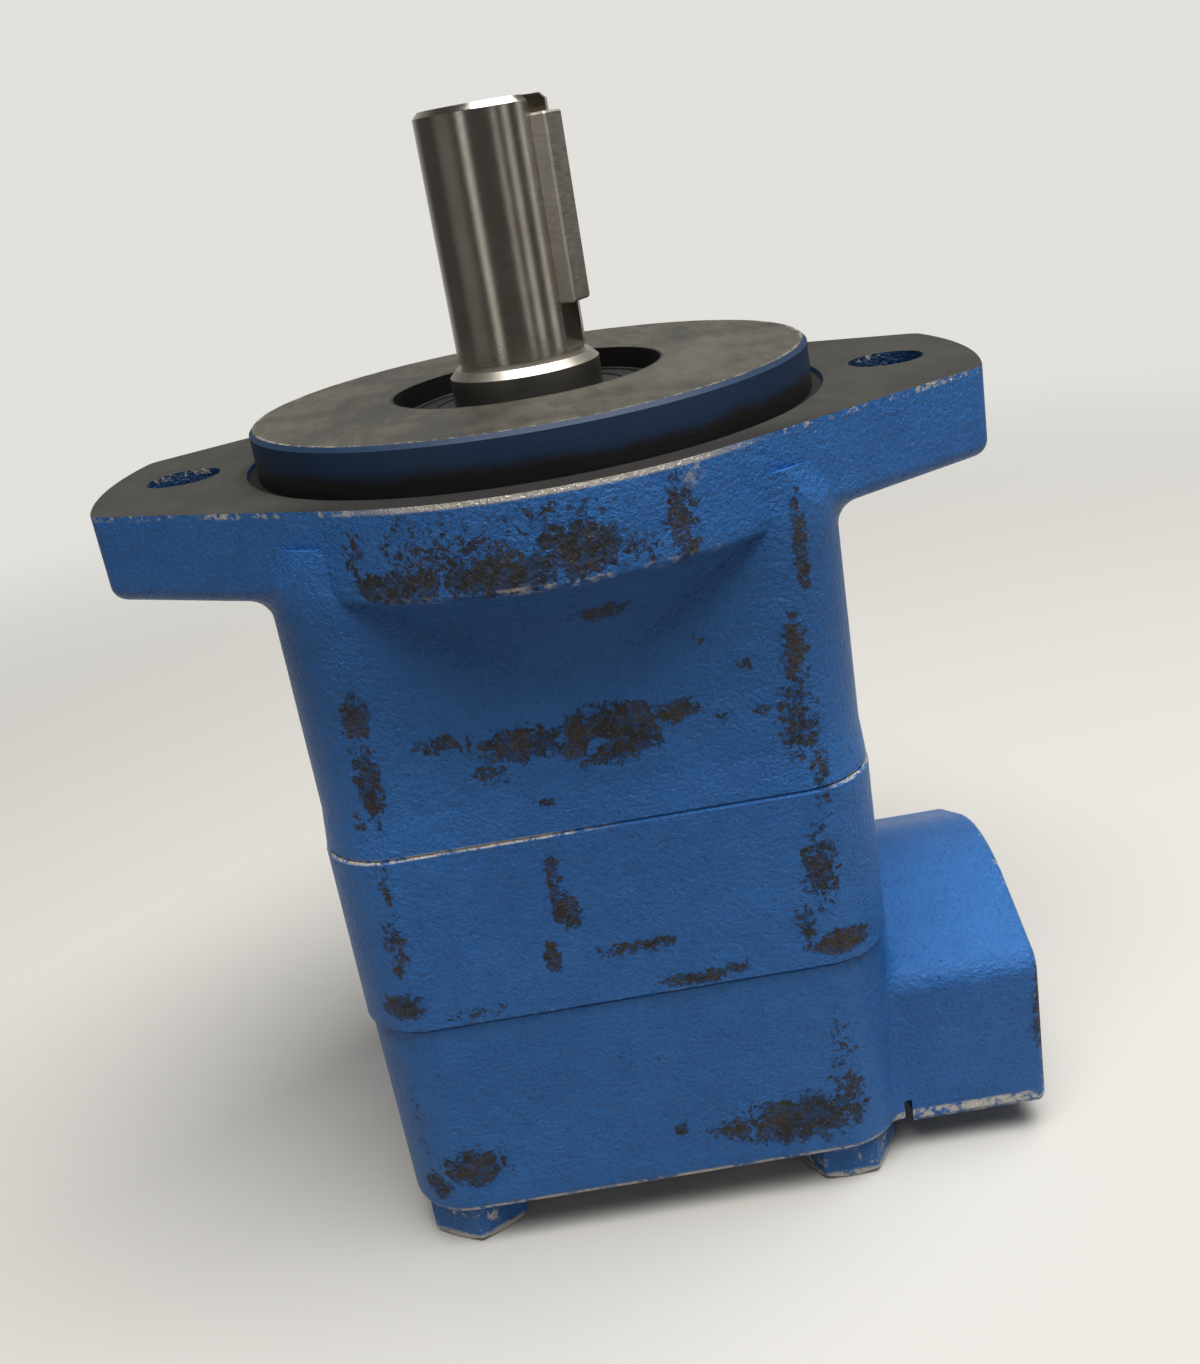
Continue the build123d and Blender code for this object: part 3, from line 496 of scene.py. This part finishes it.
COVER_WORN = [
    ((21.8, -38.4, -102.8), (10.8, 7.0, 4.5), 0.85),
    ((29.3, -38.4, -100.7), (3.0, 7.0, 6.8), 0.72),
    ((11.9, -38.4, -103.0), (3.9, 7.0, 2.0), 0.75),
    ((-27.3, -38.4, -102.1), (5.4, 7.0, 3.9), 0.85),
    ((-33.6, -38.4, -105.3), (2.4, 7.0, 2.6), 0.80),
    ((29.3, -38.4, -91.2), (2.9, 7.0, 6.7), 0.42),
    ((4.1, -38.4, -101.4), (1.0, 7.0, 1.1), 0.90),
    ((-34.0, -38.4, -93.8), (1.3, 7.0, 9.6), 0.42),
    ((-0.0, -38.4, -86.7), (5.8, 7.0, 3.5), 0.25),
    ((61.0, -30.5, -97.0), (2.0, 5.0, 12.0), 0.80),
    ((61.3, 0.0, -84.0), (1.5, 26.0, 6.0), 0.45),
]


# Colours of the steel, rubber and bronze pieces
SHAFT_STEEL = (0.56, 0.53, 0.48, 1.0)
SHAFT_STAIN = (0.44, 0.38, 0.31, 1.0)
COLLAR_STEEL = (0.24, 0.23, 0.21, 1.0)
KEY_STEEL = (0.60, 0.56, 0.50, 1.0)
KEY_STAIN = (0.50, 0.46, 0.40, 1.0)
HARD_STEEL = (0.56, 0.56, 0.56, 1.0)
RACE_STEEL = (0.66, 0.66, 0.67, 1.0)
SPRING_STEEL = (0.20, 0.20, 0.21, 1.0)
THREAD_IRON = (0.20, 0.19, 0.17, 1.0)
THREAD_STAIN = (0.12, 0.11, 0.10, 1.0)
RUBBER = (0.006, 0.006, 0.006, 1.0)
RUBBER_DUST = (0.030, 0.026, 0.020, 1.0)
BRONZE = (0.42, 0.27, 0.12, 1.0)
BRONZE_STAIN = (0.30, 0.20, 0.10, 1.0)


def steel(name, color, roughness, ring_marks=0.0, along=0.0, tint=None, dull_below=None):
    """Bare steel with fine marks around the axis or along it, slight stains, and a duller foot."""
    g = Graph(name)
    stain = g.noise(0.12, 5.0, 0.6)
    tone = g.step(stain, 0.35, 0.70)
    base = g.mix(g.math("MULTIPLY", tone, 0.6), color, tint or color)
    fine = g.noise(1.0, 4.0, 0.65, stretch=(0.5, 0.5, 9.0))
    lengthwise = g.noise(1.0, 4.0, 0.65, stretch=(3.0, 3.0, 0.2))
    height = g.math("ADD", g.math("MULTIPLY", fine, ring_marks), g.math("MULTIPLY", lengthwise, along))
    rough = g.mix_value(g.step(fine, 0.3, 0.7), roughness * 0.8, roughness * 1.3)
    if dull_below is not None:
        rough = g.mix_value(g.step(g.z, dull_below + 0.1, dull_below), rough, 0.40)
        base = g.mix(g.step(g.z, dull_below - 1.5, dull_below - 1.7), base, COLLAR_STEEL)
    return g.surface(base, rough, 1.0, g.bump(height, 0.02, 0.6))


def rubber(name):
    g = Graph(name)
    dust = g.noise(0.35, 6.0, 0.7)
    color = g.mix(g.step(dust, 0.52, 0.75), RUBBER, RUBBER_DUST)
    height = g.noise(2.0, 3.0)
    return g.surface(color, g.mix_value(dust, 0.35, 0.7), 0.0, g.bump(height, 0.05, 0.4))


def bronze(name):
    g = Graph(name)
    stain = g.noise(0.15, 5.0, 0.6)
    color = g.mix(g.step(stain, 0.35, 0.7), BRONZE, BRONZE_STAIN)
    marks = g.noise(1.0, 4.0, 0.65, stretch=(0.5, 0.5, 6.0))
    return g.surface(color, g.mix_value(marks, 0.25, 0.42), 1.0, g.bump(marks, 0.02, 0.4))


def screw_edges(g):
    return [(near(g, g.z, FLOOR_HEIGHT, 1.6), 0.85), (near(g, g.z, COVER_BACK - 3.0, 3.0), 0.25)]


# The paint that is left within the worn patch on the body's front
KEPT_PAINT = [((2.0, -38.5, -37.2), (2.4, 7.0, 1.1)), ((0.6, -38.5, -38.4), (1.0, 7.0, 0.8))]
SCREW_WORN = [((0, 0, FLOOR_HEIGHT), (60, 60, 2.0), 0.5)]

shaft_steel = steel("shaft_steel", SHAFT_STEEL, 0.15, ring_marks=1.0, tint=SHAFT_STAIN, dull_below=9.5)
key_steel = steel("key_steel", KEY_STEEL, 0.42, along=1.0, tint=KEY_STAIN)
hard_steel = steel("hard_steel", HARD_STEEL, 0.26, ring_marks=0.6)
race_steel = steel("race_steel", RACE_STEEL, 0.12, ring_marks=0.4)
spring_steel = steel("dark_spring_steel", SPRING_STEEL, 0.36, ring_marks=0.5)
iron_thread = steel("thread_iron", THREAD_IRON, 0.40, ring_marks=0.6, tint=THREAD_STAIN)
seal_rubber = rubber("seal_rubber")
plate_bronze = bronze("plate_bronze")

MATERIALS = {
    "front_body": painted_casting(
        "body_paint", BODY_WORN, body_edges, machined=True, kept_places=KEPT_PAINT, port=outlet_bore
    ),
    "cam_ring": painted_casting("ring_paint", RING_WORN, ring_edges),
    "rear_cover": painted_casting("cover_paint", COVER_WORN, cover_edges, port=inlet_bore),
    "cover_screws": painted_casting("screw_paint", SCREW_WORN, screw_edges),
    "drive_shaft": shaft_steel,
    "shaft_key": key_steel,
    "shaft_seal": seal_rubber,
    "plate_hub_seal": seal_rubber,
    "body_face_seal": seal_rubber,
    "cover_face_seal": seal_rubber,
    "pressure_plate": plate_bronze,
    "rear_bush": plate_bronze,
    "seal_garter_spring": spring_steel,
    "bearing_retaining_ring": spring_steel,
    "shaft_retaining_ring": spring_steel,
    "plate_spring": spring_steel,
    "bearing_outer_race": race_steel,
    "bearing_inner_race": race_steel,
    "bearing_balls": race_steel,
}
# The rotor, the vanes, the pins and the cage are plain hard steel
for name, node in nodes.items():
    node.data.materials.clear()
    node.data.materials.append(MATERIALS.get(name, hard_steel))


def link(name, shape, body, material):
    """Turns mesh code into a piece that rides on a body, or on none."""
    mesh = bpy.data.meshes.new(name)
    shape.to_mesh(mesh)
    shape.free()
    piece = bpy.data.objects.new(name, mesh)
    bpy.context.scene.collection.objects.link(piece)
    mesh.materials.append(material)
    if body:
        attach(piece, body)
    return piece


def copy_shape(node_name):
    shape = bmesh.new()
    shape.from_mesh(nodes[node_name].data)
    return shape


def lower_shoulder(shape):
    """Gives the shaft's shoulder the smaller chamfer, and so the lower top, of the real one."""
    for vert in shape.verts:
        radius = math.hypot(vert.co.x, vert.co.y) / MM
        share = (vert.co.z / MM - SHOULDER_FOOT) / (SHOULDER_TOP - SHOULDER_FOOT)
        if -0.01 < share < 1.01 and radius > SHOULDER_INNER:
            vert.co.z = (SHOULDER_FOOT + SHOULDER_CHAMFER * share) * MM
            if radius > CHAMFER_INNER:
                vert.co.xy *= (SHOULDER_RADIUS - SHOULDER_CHAMFER * share) / radius


TURN_LOOPS = 12


def turned_piece(name, node_name, body, material, angle, top, bottom):
    """A node's own form with the part above a height turned about the axis, eased in below it."""
    shape = copy_shape(node_name)
    lower_shoulder(shape)
    for index in range(TURN_LOOPS + 1):
        height = bottom + (top - bottom) * index / TURN_LOOPS
        everything = shape.verts[:] + shape.edges[:] + shape.faces[:]
        bmesh.ops.bisect_plane(
            shape, geom=everything, plane_co=(0, 0, height * MM), plane_no=(0, 0, 1), dist=1e-9
        )
    for vert in shape.verts:
        share = min(1.0, max(0.0, (vert.co.z / MM - bottom) / (top - bottom)))
        vert.co = Matrix.Rotation(math.radians(angle) * share, 3, "Z") @ vert.co
    piece = link(name, shape, body, material)
    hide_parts(node_name)
    return piece


def skin(shape, rows, smooth=False):
    """Closes a grid of points, which goes round in both directions, into a mesh."""
    grid = [[shape.verts.new(point) for point in row] for row in rows]
    for index, row in enumerate(grid):
        following = grid[(index + 1) % len(grid)]
        for column in range(len(row)):
            after = (column + 1) % len(row)
            face = shape.faces.new((row[column], row[after], following[after], following[column]))
            face.smooth = smooth
    bmesh.ops.recalc_face_normals(shape, faces=shape.faces[:])


THREAD_SIDES = 72
ROWS_PER_TURN = 8
INNER_GAP = 0.01
WALL_OVERLAP = 0.05


def thread(name, mouth, axis, radius, depth, pitch, height, material):
    """A helical thread on the wall of a port, as a thin closed sleeve."""
    out = Vector(axis)
    side = Vector((0, 0, 1))
    other = out.cross(side)

    def point(inward, turn, distance):
        angle = 2 * math.pi * turn
        around = side * math.cos(angle) + other * math.sin(angle)
        return (Vector(mouth) - out * inward + around * distance) * MM

    turns = [column / THREAD_SIDES for column in range(THREAD_SIDES)]
    steps = round(depth / pitch) * ROWS_PER_TURN
    rows = []
    for step in range(steps + 1):
        inward = depth * step / steps
        ends = min(1.0, inward / pitch, (depth - inward) / pitch)
        row = []
        for turn in turns:
            phase = (inward / pitch - turn) % 1.0
            crest = 1.0 - abs(2.0 * phase - 1.0)
            row.append(point(inward, turn, radius - INNER_GAP - height * crest * ends))
        rows.append(row)
    for inward in (depth, 0.0):
        rows.append([point(inward, turn, radius + WALL_OVERLAP) for turn in turns])
    shape = bmesh.new()
    skin(shape, rows)
    return link(name, shape, "housing", material)


BEAD_COLUMNS = 96
BEAD_ROWS = 12


def bead(name, radius, wire, material):
    """A raised ring on the face of the shaft seal."""
    rows = []
    for column in range(BEAD_COLUMNS):
        angle = 2 * math.pi * column / BEAD_COLUMNS
        row = []
        for index in range(BEAD_ROWS):
            tilt = 2 * math.pi * index / BEAD_ROWS
            distance = radius + wire * math.cos(tilt)
            height = SEAL_FACE + wire * math.sin(tilt)
            row.append(Vector((distance * math.cos(angle), distance * math.sin(angle), height)) * MM)
        rows.append(row)
    shape = bmesh.new()
    skin(shape, rows, smooth=True)
    return link(name, shape, "housing", material)


# The shaft stands with its key further round to the front, so its keyed end is turned with the key.
# The turn is eased in over the plain length between these two heights
KEY_SHIFT = -23.0
TURN_TOP = 0.0
TURN_BOTTOM = -3.0
turned_piece(
    "keyed_end_shaft", "drive_shaft", "shaft", shaft_steel, KEY_SHIFT, TURN_TOP, TURN_BOTTOM
)
turned_piece("fitted_key", "shaft_key", "shaft", key_steel, KEY_SHIFT, TURN_TOP, TURN_BOTTOM)

# The spring of the pressure plate, whose upper end sits in the body and lower end on the plate, stands on no
# body here
spring_shape = copy_shape("plate_spring")
spring = link("pressed_spring", spring_shape, None, spring_steel)
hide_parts("plate_spring")
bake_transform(spring)

inlet_mouth = (INLET_MOUTH, INLET_ACROSS, INLET_HEIGHT)
outlet_mouth = (0, OUTLET_MOUTH, OUTLET_HEIGHT)
thread(
    "inlet_thread", inlet_mouth, (1, 0, 0), INLET_RADIUS,
    depth=16.9, pitch=2.1125, height=0.75, material=iron_thread,
)
thread(
    "outlet_thread", outlet_mouth, (0, 1, 0), OUTLET_RADIUS,
    depth=10.9, pitch=1.8167, height=0.65, material=iron_thread,
)
bead("seal_outer_bead", radius=17.9, wire=0.35, material=seal_rubber)
bead("seal_inner_bead", radius=14.6, wire=0.25, material=seal_rubber)


# Floor and backdrop: pale for the camera and for reflections, and darker for the light they throw on the object
PALE = (0.760, 0.750, 0.715, 1.0)
FLOOR_PALE = (0.600, 0.592, 0.565, 1.0)
FLOOR_BOUNCE = (0.240, 0.236, 0.225, 1.0)
AMBIENT = (0.085, 0.086, 0.090, 1.0)
SHADE = (0.070, 0.068, 0.064, 1.0)

# The floor's radius in metres, and the radii in millimetres between which it fades out
FLOOR_RADIUS = 0.65
FADE_START = 220.0
FADE_END = 620.0
FLOOR_SIDES = 96


def pale_floor():
    """A floor that fades into the backdrop all round, and keeps the shadow of the object."""
    g = Graph("pale_floor")
    g.surface(g.mix(g.seen_directly(), FLOOR_BOUNCE, FLOOR_PALE), 0.6)
    g.shader.inputs["Specular IOR Level"].default_value = 0.0
    clear = g.add("ShaderNodeBsdfTransparent")
    joined = g.add("ShaderNodeMixShader")
    g.put(g.step(g.radius(), FADE_START, FADE_END), joined.inputs[0])
    g.put(g.shader.outputs[0], joined.inputs[1])
    g.put(clear.outputs[0], joined.inputs[2])
    g.put(joined.outputs[0], g.tree.nodes["Material Output"].inputs["Surface"])
    return g.material


floor_mesh = bpy.data.meshes.new("floor")
shape = bmesh.new()
bmesh.ops.create_circle(shape, cap_ends=True, segments=FLOOR_SIDES, radius=FLOOR_RADIUS)
shape.to_mesh(floor_mesh)
shape.free()
floor = bpy.data.objects.new("floor", floor_mesh)
floor.location.z = FLOOR_HEIGHT * MM
bpy.context.scene.collection.objects.link(floor)
floor.data.materials.append(pale_floor())


LAMP_WHITE = (1.0, 0.98, 0.95)


def softbox(name, place, target, size, power, mirrored=True):
    """A rectangular area lamp aimed at a point."""
    data = bpy.data.lights.new(name, "AREA")
    data.shape = "RECTANGLE"
    data.size, data.size_y = size
    data.energy = power
    data.color = LAMP_WHITE
    lamp = bpy.data.objects.new(name, data)
    lamp.location = place
    aim = Vector(target) - Vector(place)
    lamp.rotation_euler = aim.to_track_quat("-Z", "Y").to_euler()
    lamp.visible_glossy = mirrored
    bpy.context.scene.collection.objects.link(lamp)
    return lamp


softbox("overhead", (0.14, -0.16, 0.74), (0, 0, -0.05), (0.9, 0.55), 12.5)
softbox("front_fill", (0.50, -1.0, 0.10), (0, 0, -0.06), (0.8, 0.5), 1.2, mirrored=False)
softbox("back_fill", (-0.35, 1.1, 0.30), (0, 0, -0.06), (0.9, 0.6), 1.6, mirrored=False)

# The world: plain ambient light, a pale backdrop for the camera, and the same backdrop between dark
# screens for reflections, which gives turned steel its upright bands
world = bpy.data.worlds.new("studio")
bpy.context.scene.world = world
world.use_nodes = True
sky = Tree(world.node_tree)
directions = sky.add("ShaderNodeTexCoord")
split = sky.add("ShaderNodeSeparateXYZ")
sky.put(directions.outputs["Generated"], split.inputs[0])
# Angle about the shaft axis, in degrees, 0 in front and growing to the right
forward = sky.math("MULTIPLY", split.outputs[1], -1.0)
turn = sky.math("DEGREES", sky.math("ARCTAN2", split.outputs[0], forward))

# Gaps between the screens: the middle and half the width in degrees, and how much of the backdrop shows
SCREEN_GAPS = [
    (-70, 22, 0.14),
    (-34, 6, 1.7),
    (22, 3, 1.1),
    (42, 4.5, 1.9),
    (70, 5, 1.8),
    (95, 8, 0.25),
    (180, 50, 0.5),
    (-180, 50, 0.5),
]
GAP_SOFTNESS = 1.6
openings = 0.0
for middle, half_width, strength in SCREEN_GAPS:
    away = sky.math("ABSOLUTE", sky.math("SUBTRACT", turn, float(middle)))
    slope = sky.math("DIVIDE", away, half_width / GAP_SOFTNESS)
    gap = sky.math("SUBTRACT", GAP_SOFTNESS, slope, clamp=True)
    openings = sky.math("MAXIMUM", sky.math("MULTIPLY", gap, strength), openings)
rays = sky.add("ShaderNodeLightPath")
screens = sky.mix(openings, SHADE, PALE)
for_eye = sky.mix(rays.outputs["Is Camera Ray"], screens, PALE)
sky.put(sky.mix(sky.seen_directly(), AMBIENT, for_eye), sky.tree.nodes["Background"].inputs["Color"])

# Camera, solved from the pilot, the shaft, the bolt holes and the seams
LENS = 38.73
CAMERA_PLACE = (0.00487, -0.21951, 0.03921)
camera_data = bpy.data.cameras.new("camera")
camera_data.sensor_width = 36.0
camera_data.lens = LENS
camera_data.clip_start = 0.01
camera = bpy.data.objects.new("camera", camera_data)
right = Vector((0.9860, -0.0514, -0.1584))
up = Vector((0.1663, 0.3480, 0.9226))
back = right.cross(up)
turned = Matrix((right, up, back)).transposed().to_4x4()
camera.matrix_world = Matrix.Translation(CAMERA_PLACE) @ turned
bpy.context.scene.collection.objects.link(camera)
bpy.context.scene.camera = camera
bpy.context.scene.view_settings.view_transform = "Standard"
